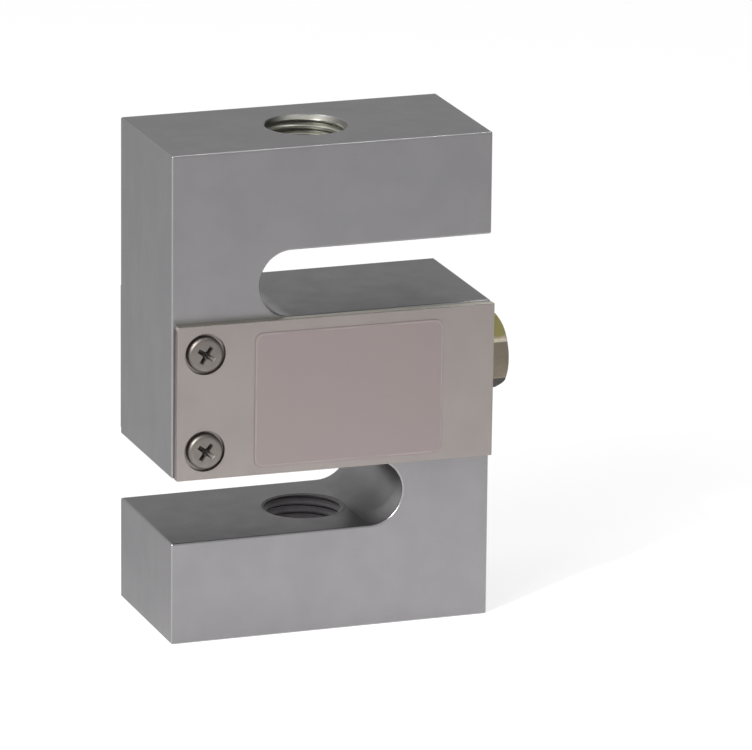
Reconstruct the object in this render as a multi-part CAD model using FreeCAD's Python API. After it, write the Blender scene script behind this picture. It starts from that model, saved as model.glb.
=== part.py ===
import FreeCAD, Part
import math
import os

Vector = FreeCAD.Vector

# An S-shaped force cell: a block of steel cut by two slots, pulled or pushed through two threaded holes.
# X runs across the S, from the left column to the column with the cable gland.
# Y runs from the front cover (negative) to the rear cover, and Z up the load axis.
# The origin is the centre of the lower threaded hole at the bottom face. Sizes are in millimetres.

# The S-shaped beam
beam_width = 50.8
beam_depth = 25.4
beam_height = 76.2
arm_height = 15.9
slot_height = 10.3
column_width = 13.9
beam_edge_break = 0.3

# Threaded holes for the load, as wide as the thread's outside diameter
load_hole_radius = 6.35
load_hole_mouth_break = 0.15

# Round pockets in the middle section, one from each side, with the gauged web left between them
web_thickness = 3.0
pocket_radius = 8.0
link_hole_radius = 1.3
link_hole_from_wall = 1.3

# Soft ring round each pocket, under the cover
seal_from_pocket = 1.0
seal_width = 1.4
seal_thickness = 0.6

# Cover plates: the front one stands a little over the middle section, and the rear one ends short of it
cover_thickness = 1.5
front_cover_overhang = 0.1
rear_cover_inset = 0.6
cover_left_inset = 0.45
cover_right_overhang = 0.05
cover_edge_break = 0.12
front_cover_turn = 0.4
rear_cover_turn = 0.0

# Cover screws
screw_inset_x = 4.8
screw_inset_z = 4.35
screw_thread_radius = 1.5
screw_reach = 5.5
screw_hole_depth = 7.0
screw_head_radius = 2.75
screw_head_height = 1.45
screw_head_round = 0.45
counterbore_depth = 0.8
counterbore_clearance = 0.45
screw_hole_clearance = 0.25
thread_clearance = 0.04

# Cross recess in a screw head
recess_span = 3.0
recess_floor_span = 1.5
recess_slot_width = 0.7
recess_floor_width = 0.36
recess_depth = 1.0
recess_turns = {"front_upper": 57.0, "front_lower": 53.0, "rear_upper": 20.0, "rear_lower": 71.0}

# Blank label on the front cover
label_left_margin = 12.2
label_right_margin = 8.2
label_top_margin = 1.8
label_bottom_margin = 1.2
label_corner_radius = 1.2
label_thickness = 0.12

# Strain gauges on the web, two on each side, laid at 45 degrees to the load
gauge_length = 6.4
gauge_width = 3.0
gauge_thickness = 0.12
gauge_gap = 0.55
gauge_slope = 45.0
gauge_tab_inset = 0.7
gauge_tab_spacing = 1.7

# Potting compound, and the round board that lies on it
potting_depth = 7.5
board_clearance = 0.3
board_thickness = 1.0
board_flat = 0.8
gauge_lead_radius = 0.2
link_lead_radius = 0.25
link_lead_offset = 0.45

# Trimming resistors on the front board
resistor_length = 3.2
resistor_width = 1.6
resistor_height = 0.6
resistor_pitch = 3.2

# Cable gland in the side of the right column
gland_across_flats = 10.4
gland_head_length = 5.4
gland_head_chamfer = 0.95
gland_chamfer_slope = 30.0
gland_shank_radius = 4.0
gland_shank_length = 7.0
cable_bore_radius = 2.5
cable_mouth_radius = 2.9
cable_mouth_length = 4.2
cable_mouth_round = 0.4
gland_seal_thickness = 0.5
gland_seal_width = 1.05
thrust_washer_thickness = 0.6
thrust_washer_clearance = 0.1
grommet_length = 4.0
grommet_bore_radius = 2.3
wire_way_radius = 1.25

# Cutting tools start or end this far outside the metal
overcut = 1.0

# Two places this close together are taken as the same
same_place = 0.01

# Heights of the slot walls, and other places that follow from the sizes above
half_width = beam_width / 2
half_depth = beam_depth / 2
half_web = web_thickness / 2
lower_slot_floor = arm_height
lower_slot_roof = arm_height + slot_height
upper_slot_floor = beam_height - arm_height - slot_height
upper_slot_roof = beam_height - arm_height
slot_end_radius = slot_height / 2
mid_height = beam_height / 2
upper_slot_end = Vector(-half_width + column_width + slot_end_radius, 0, upper_slot_floor + slot_end_radius)
lower_slot_end = Vector(half_width - column_width - slot_end_radius, 0, lower_slot_floor + slot_end_radius)
link_hole_height = mid_height - pocket_radius + link_hole_from_wall + link_hole_radius
seal_inner_radius = pocket_radius + seal_from_pocket
seal_outer_radius = seal_inner_radius + seal_width
slope_sine, slope_cosine = math.sin(math.radians(gauge_slope)), math.cos(math.radians(gauge_slope))
gauge_span = gauge_length * slope_cosine + gauge_width * slope_sine
gauge_offset = (gauge_span + gauge_gap) / 2
board_face = half_web + potting_depth
screw_x = -half_width + screw_inset_x
screw_heights = {"upper": upper_slot_floor - screw_inset_z, "lower": lower_slot_roof + screw_inset_z}
port_depth = gland_shank_length - gland_seal_thickness + thrust_washer_thickness + grommet_length
port_radius = gland_shank_radius + thread_clearance

along_y = Vector(0, 1, 0)


def block(low, high):
    """Box between two corners."""
    size = high.sub(low)
    return Part.makeBox(size.x, size.y, size.z, low)


def rod(radius, start, end):
    """Cylinder between two points on its axis."""
    line = end.sub(start)
    return Part.makeCylinder(radius, line.Length, start, line)


def tube(outer, inner, start, end):
    """Ring or sleeve between two points on its axis."""
    return rod(outer, start, end).cut(rod(inner, start, end))


def cone(start_radius, end_radius, start, end):
    """Cone between two points on its axis."""
    line = end.sub(start)
    return Part.makeCone(start_radius, end_radius, line.Length, start, line)


def to_side(shape, side):
    """A shape modelled at the front face, mirrored to the back where the side is the rear."""
    if side == "front":
        return shape
    return shape.mirror(Vector(0, 0, 0), along_y)


def slot(end_centre, mouth_x):
    """Through slot with a full round end, from its end's centre past the open face."""
    low_x, high_x = sorted((end_centre.x, mouth_x))
    reach = half_depth + overcut
    low = Vector(low_x, -reach, end_centre.z - slot_end_radius)
    high = Vector(high_x, reach, end_centre.z + slot_end_radius)
    start = Vector(end_centre.x, -reach, end_centre.z)
    end = Vector(end_centre.x, reach, end_centre.z)
    return block(low, high).fuse(rod(slot_end_radius, start, end))


def load_hole(low_z, high_z):
    """Straight hole on the load axis through one arm, with both mouths broken."""
    hole = rod(load_hole_radius, Vector(0, 0, low_z - overcut), Vector(0, 0, high_z + overcut))
    mouth_radius = load_hole_radius + load_hole_mouth_break
    for face_z, inward in ((low_z, 1), (high_z, -1)):
        inner = Vector(0, 0, face_z + inward * load_hole_mouth_break)
        hole = hole.fuse(cone(mouth_radius, load_hole_radius, Vector(0, 0, face_z), inner))
    return hole


def s_block():
    """The block with both slots, and its edges broken before any hole is drilled."""
    body = block(Vector(-half_width, -half_depth, 0), Vector(half_width, half_depth, beam_height))
    body = body.cut(slot(upper_slot_end, half_width + overcut))
    body = body.cut(slot(lower_slot_end, -half_width - overcut)).removeSplitter()
    tangent_lines = (upper_slot_end.x, lower_slot_end.x)
    sharp = []
    for edge in body.Edges:
        first, last = edge.Vertexes[0].Point, edge.Vertexes[-1].Point
        runs_in_depth = abs(first.x - last.x) < same_place and abs(first.z - last.z) < same_place
        at_round_end = any(abs(first.x - x) < same_place for x in tangent_lines)
        if not (runs_in_depth and at_round_end):
            sharp.append(edge)
    return body.makeFillet(beam_edge_break, sharp)


def gauge_pocket():
    """Round pocket from the front face to the web, with the seal's recess round it."""
    outside = Vector(0, -half_depth - overcut, mid_height)
    pocket = rod(pocket_radius, outside, Vector(0, -half_web, mid_height))
    recess_floor = Vector(0, -half_depth + seal_thickness, mid_height)
    return pocket.fuse(tube(seal_outer_radius, seal_inner_radius, outside, recess_floor))


def link_hole():
    """Hole through the web for the wires between the two boards."""
    reach = half_web + overcut
    return rod(link_hole_radius, Vector(0, -reach, link_hole_height), Vector(0, reach, link_hole_height))


def gland_port():
    """Bore for the gland in the right face, and the slanted wire way from its floor to the front pocket."""
    bore = rod(port_radius, gland_x(-port_depth), gland_x(overcut))
    start = gland_x(-port_depth + wire_way_radius)
    aim = Vector(pocket_radius - wire_way_radius, -half_web - potting_depth / 2, mid_height)
    return bore.fuse(rod(wire_way_radius, start, aim))


def cover_screw_hole(z):
    """Blind threaded hole for one cover screw in the front face."""
    start = Vector(screw_x, -half_depth - overcut, z)
    end = Vector(screw_x, -half_depth + screw_hole_depth, z)
    return rod(screw_thread_radius + thread_clearance, start, end)


def load_beam():
    """The S-shaped beam with all its holes and pockets."""
    body = s_block()
    body = body.cut(load_hole(0, lower_slot_floor))
    body = body.cut(load_hole(upper_slot_roof, beam_height))
    for side in ("front", "rear"):
        body = body.cut(to_side(gauge_pocket(), side))
        for z in screw_heights.values():
            body = body.cut(to_side(cover_screw_hole(z), side))
    return body.cut(link_hole()).cut(gland_port())


def cover_corners(overhang):
    """Low and high corners of a cover on the front face, standing over the slot walls by the overhang."""
    low_x = -half_width + cover_left_inset
    high_x = half_width + cover_right_overhang
    low = Vector(low_x, -half_depth - cover_thickness, lower_slot_roof - overhang)
    high = Vector(high_x, -half_depth, upper_slot_floor + overhang)
    return low, high


def turned_on_screws(shape, turn):
    """A shape turned in the cover's plane about the point midway between its two screws."""
    pivot = Vector(screw_x, 0, mid_height)
    return shape.rotated(pivot, along_y, turn)


def cover(side, overhang, turn):
    """Cover plate, held at its left end only, with counterbored screw holes."""
    low, high = cover_corners(overhang)
    plate = block(low, high)
    plate = plate.makeFillet(cover_edge_break, plate.Edges)
    for z in screw_heights.values():
        outside = Vector(screw_x, low.y - overcut, z)
        inside = Vector(screw_x, high.y + overcut, z)
        seat = Vector(screw_x, low.y + counterbore_depth, z)
        plate = plate.cut(rod(screw_thread_radius + screw_hole_clearance, outside, inside))
        plate = plate.cut(rod(screw_head_radius + counterbore_clearance, outside, seat))
    return to_side(turned_on_screws(plate, turn), side)


def cover_seal(side):
    """Soft ring in the recess round a pocket, level with the beam's face."""
    outer = Vector(0, -half_depth, mid_height)
    inner = Vector(0, -half_depth + seal_thickness, mid_height)
    return to_side(tube(seal_outer_radius, seal_inner_radius, outer, inner), side)


def cross_recess(face_y, turn):
    """Two tapered slots that cross, cut from a head's outer face."""
    long, floor_long = recess_span / 2, recess_floor_span / 2
    wide, floor_wide = recess_slot_width / 2, recess_floor_width / 2
    arm = Part.makeWedge(-long, face_y, -wide, -floor_wide, -floor_long,
                         long, face_y + recess_depth, wide, floor_wide, floor_long)
    crossed = arm.fuse(arm.rotated(Vector(0, 0, 0), along_y, 90))
    return crossed.rotated(Vector(0, 0, 0), along_y, turn)


def cover_screw(side, height, turn):
    """Low-headed cross-recess screw through the cover into the beam."""
    seat_y = -half_depth - cover_thickness + counterbore_depth
    face_y = seat_y - screw_head_height
    head = rod(screw_head_radius, Vector(0, face_y, 0), Vector(0, seat_y, 0))
    rim = [edge for edge in head.Edges if edge.BoundBox.YMax < face_y + same_place]
    head = head.makeFillet(screw_head_round, rim)
    shank = rod(screw_thread_radius, Vector(0, seat_y, 0), Vector(0, -half_depth + screw_reach, 0))
    screw = head.fuse(shank).cut(cross_recess(face_y, -turn)).removeSplitter()
    return to_side(screw.translated(Vector(screw_x, 0, height)), side)


def blank_label():
    """Thin label with rounded corners on the front cover, turned with it."""
    low, high = cover_corners(front_cover_overhang)
    label_low = Vector(low.x + label_left_margin, low.y - label_thickness, low.z + label_bottom_margin)
    label_high = Vector(high.x - label_right_margin, low.y, high.z - label_top_margin)
    label = block(label_low, label_high)
    corners = [edge for edge in label.Edges if abs(edge.BoundBox.YLength - label_thickness) < same_place]
    return turned_on_screws(label.makeFillet(label_corner_radius, corners), front_cover_turn)


def gauge_angle(index):
    """Slope of a gauge in the front view: the two on a side mirror each other."""
    return -gauge_slope if index == 1 else gauge_slope


def gauge_centre(index):
    """Centre of a gauge's foot on the web's front face."""
    x = -gauge_offset if index == 1 else gauge_offset
    return Vector(x, -half_web, mid_height)


def strain_gauge(side, index):
    """One bonded foil gauge on the web."""
    low = Vector(-gauge_length / 2, -gauge_thickness, -gauge_width / 2)
    high = Vector(gauge_length / 2, 0, gauge_width / 2)
    gauge = block(low, high).rotated(Vector(0, 0, 0), along_y, gauge_angle(index))
    return to_side(gauge.translated(gauge_centre(index)), side)


def gauge_lead(side, index):
    """Thin wire from one solder tab of a gauge to the board over it."""
    gauge_index = 1 if index <= 2 else 2
    tab_from_centre = gauge_length / 2 - gauge_tab_inset
    along = tab_from_centre if gauge_index == 1 else -tab_from_centre
    across = gauge_tab_spacing / 2 if index % 2 else -gauge_tab_spacing / 2
    start = Vector(along, -gauge_thickness, 0)
    wire = rod(gauge_lead_radius, start, Vector(along, half_web - board_face, 0))
    wire = wire.translated(Vector(0, 0, across)).rotated(Vector(0, 0, 0), along_y, gauge_angle(gauge_index))
    return to_side(wire.translated(gauge_centre(gauge_index)), side)


def link_lead(index):
    """Thin wire through the web, from the rear board to the front board."""
    x = link_lead_offset if index % 2 else -link_lead_offset
    z = link_hole_height + (link_lead_offset if index <= 2 else -link_lead_offset)
    return rod(link_lead_radius, Vector(x, -board_face, z), Vector(x, board_face, z))


def potting(side, held):
    """Soft compound that fills a pocket up to the board, around what it holds."""
    web = Vector(0, -half_web, mid_height)
    filling = to_side(rod(pocket_radius, web, Vector(0, -board_face, mid_height)), side)
    if side == "front":
        hole_front = Vector(0, -half_web, link_hole_height)
        hole_rear = Vector(0, half_web, link_hole_height)
        filling = filling.fuse(rod(link_hole_radius, hole_front, hole_rear))
    return filling.cut(held).removeSplitter()


def board(side):
    """Round board on the potting, with a flat at the top and one at the bottom."""
    radius = pocket_radius - board_clearance
    outer = Vector(0, -board_face - board_thickness, mid_height)
    disc = rod(radius, outer, Vector(0, -board_face, mid_height))
    half_flat = radius - board_flat
    low = Vector(-radius, outer.y, mid_height - half_flat)
    high = Vector(radius, -board_face, mid_height + half_flat)
    return to_side(disc.common(block(low, high)), side)


def trim_resistor(row):
    """Chip resistor on the front board's outer face, in one of three rows."""
    z = mid_height + row * resistor_pitch
    face_y = -board_face - board_thickness
    low = Vector(-resistor_length / 2, face_y - resistor_height, z - resistor_width / 2)
    high = Vector(resistor_length / 2, face_y, z + resistor_width / 2)
    return block(low, high)


def gland_x(distance):
    """Point on the gland's axis at a distance out from the beam's right face."""
    return Vector(half_width + distance, 0, mid_height)


def hexagon(across_flats, start, length):
    """Hexagonal prism along X with one corner at the top."""
    corner_radius = across_flats / math.sqrt(3)
    corners = []
    for step in range(7):
        angle = math.radians(90 + 60 * step)
        corner = Vector(0, corner_radius * math.cos(angle), corner_radius * math.sin(angle))
        corners.append(start.add(corner))
    return Part.Face(Part.makePolygon(corners)).extrude(Vector(length, 0, 0))


def gland_screw():
    """Hollow hexagon-headed screw that presses the grommet onto the cable."""
    head_start = gland_seal_thickness
    head_end = head_start + gland_head_length
    corner_radius = gland_across_flats / math.sqrt(3)
    chamfer_length = gland_head_chamfer * math.tan(math.radians(gland_chamfer_slope))
    nose_start = gland_x(head_end - chamfer_length)
    outside = gland_x(head_end + overcut)
    turned = rod(corner_radius, gland_x(head_start), nose_start)
    nose = cone(corner_radius, corner_radius - gland_head_chamfer, nose_start, gland_x(head_end))
    head = hexagon(gland_across_flats, gland_x(head_start), gland_head_length)
    head = head.common(turned.fuse(nose).removeSplitter())
    shank = rod(gland_shank_radius, gland_x(head_start - gland_shank_length), gland_x(head_start))
    screw = head.fuse(shank).cut(rod(cable_bore_radius, gland_x(-port_depth), outside))
    screw = screw.cut(rod(cable_mouth_radius, gland_x(head_end - cable_mouth_length), outside))
    flare = cone(cable_mouth_radius, cable_mouth_radius + cable_mouth_round,
                 gland_x(head_end - cable_mouth_round), gland_x(head_end))
    return screw.cut(flare).removeSplitter()


def gland_seal_ring():
    """Flat sealing ring under the gland's head."""
    return tube(port_radius + gland_seal_width, port_radius, gland_x(0), gland_x(gland_seal_thickness))


def thrust_washer():
    """Washer between the gland's shank and the grommet."""
    start = gland_seal_thickness - gland_shank_length
    end = start - thrust_washer_thickness
    return tube(port_radius - thrust_washer_clearance, cable_bore_radius, gland_x(end), gland_x(start))


def cable_grommet():
    """Rubber sleeve at the port's floor."""
    floor = gland_x(-port_depth)
    return tube(port_radius, grommet_bore_radius, floor, gland_x(-port_depth + grommet_length))


def all_pieces():
    """Every piece of the cell, by the name of its node."""
    pieces = {"load_beam": load_beam()}
    pieces["front_cover"] = cover("front", front_cover_overhang, front_cover_turn)
    pieces["rear_cover"] = cover("rear", -rear_cover_inset, rear_cover_turn)
    pieces["blank_label"] = blank_label()
    for side in ("front", "rear"):
        pieces[side + "_cover_seal"] = cover_seal(side)
        for level, height in screw_heights.items():
            place = side + "_" + level
            pieces["cover_screw_" + place] = cover_screw(side, height, recess_turns[place])
        for index in (1, 2):
            pieces["strain_gauge_%s_%d" % (side, index)] = strain_gauge(side, index)
        for index in (1, 2, 3, 4):
            pieces["gauge_lead_%s_%d" % (side, index)] = gauge_lead(side, index)
    for index in (1, 2, 3, 4):
        pieces["link_lead_%d" % index] = link_lead(index)
    potted = ("strain_gauge", "gauge_lead", "link_lead")
    held = [piece for name, piece in pieces.items() if name.startswith(potted)]
    for side in ("front", "rear"):
        pieces[side + "_potting"] = potting(side, held)
    pieces["balance_board"] = board("front")
    pieces["rear_terminal_board"] = board("rear")
    for name, row in (("zero_resistor", 1), ("span_resistor", 0), ("temperature_resistor", -1)):
        pieces[name] = trim_resistor(row)
    pieces["gland_screw"] = gland_screw()
    pieces["gland_seal_ring"] = gland_seal_ring()
    pieces["thrust_washer"] = thrust_washer()
    pieces["cable_grommet"] = cable_grommet()
    return pieces


os.makedirs("parts", exist_ok=True)
for node, shape in all_pieces().items():
    shape.exportStep("parts/" + node + ".step")
    print("%-24s solids %d  valid %s  %9.2f mm3" % (node, len(shape.Solids), shape.isValid(), shape.Volume))
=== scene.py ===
import logging
import math
from collections.abc import Callable, Iterable, Sequence
from dataclasses import dataclass
from enum import Enum

import bmesh
import bpy
from mathutils import Matrix, Vector


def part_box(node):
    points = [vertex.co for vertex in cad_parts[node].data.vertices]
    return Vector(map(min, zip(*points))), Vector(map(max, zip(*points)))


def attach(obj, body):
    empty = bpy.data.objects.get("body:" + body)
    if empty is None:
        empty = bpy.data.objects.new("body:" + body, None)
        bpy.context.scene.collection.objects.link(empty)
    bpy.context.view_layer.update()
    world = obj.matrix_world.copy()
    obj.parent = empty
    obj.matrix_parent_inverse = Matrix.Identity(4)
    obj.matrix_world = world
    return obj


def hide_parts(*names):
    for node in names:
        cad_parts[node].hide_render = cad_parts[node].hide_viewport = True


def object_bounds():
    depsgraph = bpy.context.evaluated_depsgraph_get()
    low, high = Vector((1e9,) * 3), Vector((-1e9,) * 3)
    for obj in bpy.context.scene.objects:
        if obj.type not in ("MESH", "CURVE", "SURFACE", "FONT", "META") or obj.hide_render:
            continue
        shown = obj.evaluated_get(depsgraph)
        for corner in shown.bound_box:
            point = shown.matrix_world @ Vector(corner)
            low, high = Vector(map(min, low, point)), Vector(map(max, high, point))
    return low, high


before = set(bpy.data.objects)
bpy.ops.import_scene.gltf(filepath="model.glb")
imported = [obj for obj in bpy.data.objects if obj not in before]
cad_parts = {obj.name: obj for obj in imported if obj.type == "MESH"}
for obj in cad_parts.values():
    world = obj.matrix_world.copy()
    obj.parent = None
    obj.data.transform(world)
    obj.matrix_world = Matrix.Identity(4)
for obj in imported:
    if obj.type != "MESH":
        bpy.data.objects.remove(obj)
cad_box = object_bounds()

# An S-shaped force cell: a plated steel beam with two slots and two load threads, a cover on each face
# of its middle section, and a cable gland in its right side. All sizes are in metres, and +Z is up.

MM = 0.001
BODY = "root"
STORED_SHADE = "shade"
STORED_HIGHLIGHT = "painted_highlight"
NOISE_MIDDLE = 0.5

# The flats at a thread's roots and crests, as shares of its pitch.
NARROW_FLAT, WIDE_FLAT = 1 / 8, 1 / 4

Triple = tuple[float, float, float]
Colour = Triple
Span = tuple[float, float]

ORIGIN: Triple = (0.0, 0.0, 0.0)
WHITE: Colour = (1.0, 1.0, 1.0)

log = logging.getLogger("load_cell")


class Slot(Enum):
    """The finishes of the cell, by the names of their material slots."""

    BEAM = "beam_steel"
    COVER = "cover_sheet"
    SCREW = "screw_steel"
    LABEL = "label_foil"
    SEAL = "seal_rubber"
    FIBRE = "fibre_ring"
    GAUGE = "gauge_film"
    GAUGE_WIRE = "gauge_wire"
    LINK_WIRE = "link_wire"
    POTTING = "potting_silicone"
    BOARD = "board_laminate"
    RESISTOR = "resistor_ceramic"
    GLAND = "gland_plated_brass"
    WASHER = "washer_brass"


class Side(Enum):
    """The two faces that carry a cover, with the sign of their outward direction along Y."""

    FRONT = -1
    REAR = 1

    @property
    def word(self) -> str:
        """The side's word in the names of the nodes."""
        return self.name.lower()


class Rounded(Enum):
    """What a rounding takes off a mesh."""

    EDGES = "EDGES"
    CORNERS = "VERTICES"


def joined(operation: str, swapped: bool = False) -> Callable[["Value", "Value | float"], "Value"]:
    """A method that joins a value to a second one.

    Args:
        operation: The operation of the Math node that joins them.
        swapped: Whether the second value goes into the node first.

    Returns:
        The method.
    """
    def method(first: "Value", second: "Value | float") -> "Value":
        """The two values, joined."""
        return first.operate(operation, *((second, first) if swapped else (first, second)))

    return method


class Value:
    """A number that varies over a surface, with the arithmetic that the finishes use."""

    __add__ = joined("ADD")
    __radd__ = joined("ADD", swapped=True)
    __sub__ = joined("SUBTRACT")
    __rsub__ = joined("SUBTRACT", swapped=True)
    __mul__ = joined("MULTIPLY")
    __rmul__ = joined("MULTIPLY", swapped=True)
    larger = joined("MAXIMUM")
    smaller = joined("MINIMUM")
    power = joined("POWER")

    def __init__(self, tree: "FinishTree", socket: bpy.types.NodeSocket) -> None:
        """Wrap one output socket of a node."""
        self.tree = tree
        self.socket = socket

    def operate(self, operation: str, *operands: "Value | float") -> "Value":
        """The result of one Math node."""
        node = self.tree.add("Math", {"operation": operation}, dict(enumerate(operands)))
        return Value(self.tree, node.outputs[0])

    def __abs__(self) -> "Value":
        """Size without sign."""
        return self.operate("ABSOLUTE", self)

    def wave(self) -> "Value":
        """Sine of the value, in radians."""
        return self.operate("SINE", self)

    def swing(self, reach: float) -> "Value":
        """How far a noise lies from its middle, times a reach."""
        return (self - NOISE_MIDDLE) * reach

    def ramp(self, low: float, high: float) -> "Value":
        """Smooth step from 0 to 1.

        Args:
            low: Where the step starts.
            high: Where it ends. A step from high to low falls instead.

        Returns:
            The step, clamped to 0 and 1.
        """
        sockets = {"Value": self, "From Min": low, "From Max": high}
        node = self.tree.add("MapRange", {"interpolation_type": "SMOOTHSTEP"}, sockets)
        return Value(self.tree, node.outputs[0])


class FinishTree:
    """The nodes of one material or of the world."""

    MIX_FACTOR, MIX_FIRST, MIX_SECOND, MIX_RESULT = 0, 6, 7, 2

    def __init__(self, owner: bpy.types.Material | bpy.types.World) -> None:
        """Start an empty node tree.

        Args:
            owner: The material or the world that it belongs to.
        """
        owner.use_nodes = True
        self.owner = owner
        self.graph = owner.node_tree
        self.graph.nodes.clear()

    def add(self, kind: str, settings: dict[str, object] | None = None,
            sockets: dict[str | int, object] | None = None) -> bpy.types.Node:
        """Add one node.

        Args:
            kind: The node's type, without the part that all shader nodes share.
            settings: The node's own properties, set before its sockets.
            sockets: Values or links for its inputs, by name or number.

        Returns:
            The node.
        """
        node = self.graph.nodes.new("ShaderNode" + kind)
        for name, setting in (settings or {}).items():
            setattr(node, name, setting)
        for name, value in (sockets or {}).items():
            source = value.socket if isinstance(value, Value) else value
            if isinstance(source, bpy.types.NodeSocket):
                self.graph.links.new(source, node.inputs[name])
            else:
                node.inputs[name].default_value = source
        return node

    def place(self, size: Triple, turn: Triple = ORIGIN, centre: Triple = ORIGIN) -> bpy.types.NodeSocket:
        """Object coordinates for a pattern.

        Args:
            size: The length along each axis that the pattern takes as one.
            turn: How the pattern is turned about its centre, in radians.
            centre: The pattern's centre.

        Returns:
            The coordinates' socket.
        """
        coordinates = self.add("TexCoord").outputs["Object"]
        sockets = {"Vector": coordinates, "Location": centre, "Rotation": turn, "Scale": size}
        return self.add("Mapping", {"vector_type": "TEXTURE"}, sockets).outputs["Vector"]

    def axes(self, vector: bpy.types.NodeSocket) -> tuple[Value, Value, Value]:
        """The three parts of a vector."""
        outputs = self.add("SeparateXYZ", None, {0: vector}).outputs
        return Value(self, outputs[0]), Value(self, outputs[1]), Value(self, outputs[2])

    def position(self, centre: Triple = ORIGIN, turn: Triple = ORIGIN) -> tuple[Value, Value, Value]:
        """How far a point lies from a centre along three axes, in metres."""
        return self.axes(self.place((1.0, 1.0, 1.0), turn, centre))

    def noise(self, size: float | Triple, detail: float, centre: Triple = ORIGIN) -> Value:
        """Cloudy variation from 0 to 1, about half on average.

        Args:
            size: The size of its patches, the same all ways or one for each axis.
            detail: How many finer layers it has.
            centre: Where it starts, so that two layers of one size differ.

        Returns:
            The variation.
        """
        lengths = size if isinstance(size, tuple) else (size,) * 3
        sockets = {"Vector": self.place(lengths, centre=centre), "Scale": 1.0, "Detail": detail}
        return Value(self, self.add("TexNoise", None, sockets).outputs[0])

    def specks(self, size: float) -> Value:
        """Distance to the nearest of many scattered points, in patches of a size."""
        sockets = {"Vector": self.place((size,) * 3), "Scale": 1.0}
        return Value(self, self.add("TexVoronoi", None, sockets).outputs["Distance"])

    def stored(self, name: str) -> Value:
        """A value that the piece's own mesh stores at its corners, or zero where it stores none."""
        return Value(self, self.add("Attribute", {"attribute_name": name}).outputs["Fac"])

    def sight(self) -> tuple[Value, Value]:
        """Tell what looks at a point.

        Returns:
            One for a ray from the eye, also through glass, and one for a ray from a mirroring face.
        """
        rays = self.add("LightPath").outputs
        seen = (Value(self, rays["Is Camera Ray"]) + Value(self, rays["Is Transmission Ray"])).smaller(1.0)
        return seen, Value(self, rays["Is Glossy Ray"])

    def mix(self, share: Value | float, first: object, second: object) -> bpy.types.NodeSocket:
        """Blend two colours or colour sockets, by the share of the second one."""
        sockets = {self.MIX_FACTOR: share, self.MIX_FIRST: opaque(first), self.MIX_SECOND: opaque(second)}
        return self.add("Mix", {"data_type": "RGBA"}, sockets).outputs[self.MIX_RESULT]

    def relief(self, height: Value) -> bpy.types.NodeSocket:
        """Normals of a surface with this height over it, in metres."""
        return self.add("Bump", None, {"Height": height, "Distance": 1.0}).outputs["Normal"]

    def surface(self, sockets: dict[str, object]) -> bpy.types.Material:
        """Close the tree with one surface shader.

        Args:
            sockets: Values or links for the shader's inputs.

        Returns:
            The finished material.
        """
        filled = {name: opaque(value) for name, value in sockets.items()}
        shader = self.add("BsdfPrincipled", None, filled)
        self.add("OutputMaterial", None, {"Surface": shader.outputs[0]})
        return self.owner


def opaque(colour: object) -> object:
    """A plain colour with full alpha, and anything else as it is."""
    return (*colour, 1.0) if isinstance(colour, tuple) else colour


def new_tree(name: str) -> FinishTree:
    """The empty tree of a new material."""
    return FinishTree(bpy.data.materials.new(name))


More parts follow.
